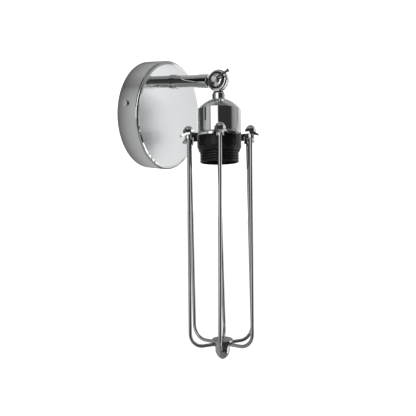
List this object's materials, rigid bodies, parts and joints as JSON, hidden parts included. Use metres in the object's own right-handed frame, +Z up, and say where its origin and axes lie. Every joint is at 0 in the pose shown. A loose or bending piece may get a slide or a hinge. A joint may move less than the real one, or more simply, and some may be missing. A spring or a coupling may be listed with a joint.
{
  "type": "cage wall light",
  "caption": "Round wall plate with a short arm, a clamped tilting knuckle, a cupped lampholder and a long narrow cage of bent rods that end in a small hub.",
  "frame": {"origin": "centre of the backplate on the wall, midway between the two wall screws", "axes": "+Z up, +Y into the wall, the light stands out towards -Y, +X to the right as seen from the room"},
  "size_m": [0.119, 0.151, 0.3003],
  "materials": {
    "chrome": "polished chrome plate",
    "steel": "plain turned steel",
    "zinc": "zinc plated steel, satin",
    "brass": "plain brass",
    "black_plastic": "black moulded phenolic, half gloss",
    "porcelain": "white glazed porcelain",
    "nylon": "natural nylon",
    "insulation": "grey lead insulation"
  },
  "bodies": {
    "wall_base": {"backplate": "chrome", "wall_bracket": "zinc", "side_screws": "chrome", "earth_screw": "brass", "earth_washer": "brass", "terminal_block": "nylon", "terminal_screws": "brass", "arm_washer": "zinc", "arm_locknut": "zinc", "arm_nipple": "zinc", "arm_base_collar": "chrome", "arm_tube": "chrome", "arm_end_collar": "chrome", "arm_leads": "insulation", "knuckle_fixed_half": "chrome", "knuckle_washer": "steel", "clamp_nut": "chrome"},
    "clamp": {"clamp_screw": "chrome"},
    "bar": {"tommy_bar": "chrome"},
    "lamp": {"knuckle_moving_half": "chrome", "neck_collar": "chrome", "holder_cup": "chrome", "holder_washer": "zinc", "holder_locknut": "zinc", "holder_cap": "black_plastic", "holder_body": "black_plastic", "contact_block": "porcelain", "screw_shell": "brass", "centre_contact": "brass", "holder_screws": "brass", "holder_leads": "insulation", "star_plate": "chrome", "cap_nuts": "chrome", "under_nuts": "chrome", "cage_rod_1": "chrome", "cage_rod_2": "chrome", "cage_rod_3": "chrome", "cage_rod_4": "chrome", "cage_rod_5": "chrome", "cage_rod_6": "chrome", "hub_disc": "chrome", "hub_body": "chrome", "hub_stud": "steel", "finial": "chrome"},
    "ring": {"shade_ring": "black_plastic"}
  },
  "joints": [
    {"name": "knuckle_tilt", "type": "hinge", "parent": "wall_base", "child": "lamp", "pos_m": [0, -0.0795, 0.037], "axis": [1, 0, 0], "range_deg": [-82, 17.5]},
    {"name": "clamp_turn", "type": "hinge", "parent": "wall_base", "child": "clamp", "pos_m": [0, -0.0795, 0.037], "axis": [1, 0, 0], "range_deg": [-120, 0]},
    {"name": "tommy_bar_slide", "type": "slide", "parent": "clamp", "child": "bar", "axis": [0, -0.8616, 0.5075], "range_m": [-0.0123, 0.0021]},
    {"name": "shade_ring_turn", "type": "hinge", "parent": "lamp", "child": "ring", "pos_m": [0, -0.0886, -0.02776], "axis": [0, -0.1392, -0.9903], "continuous": true}
  ]
}
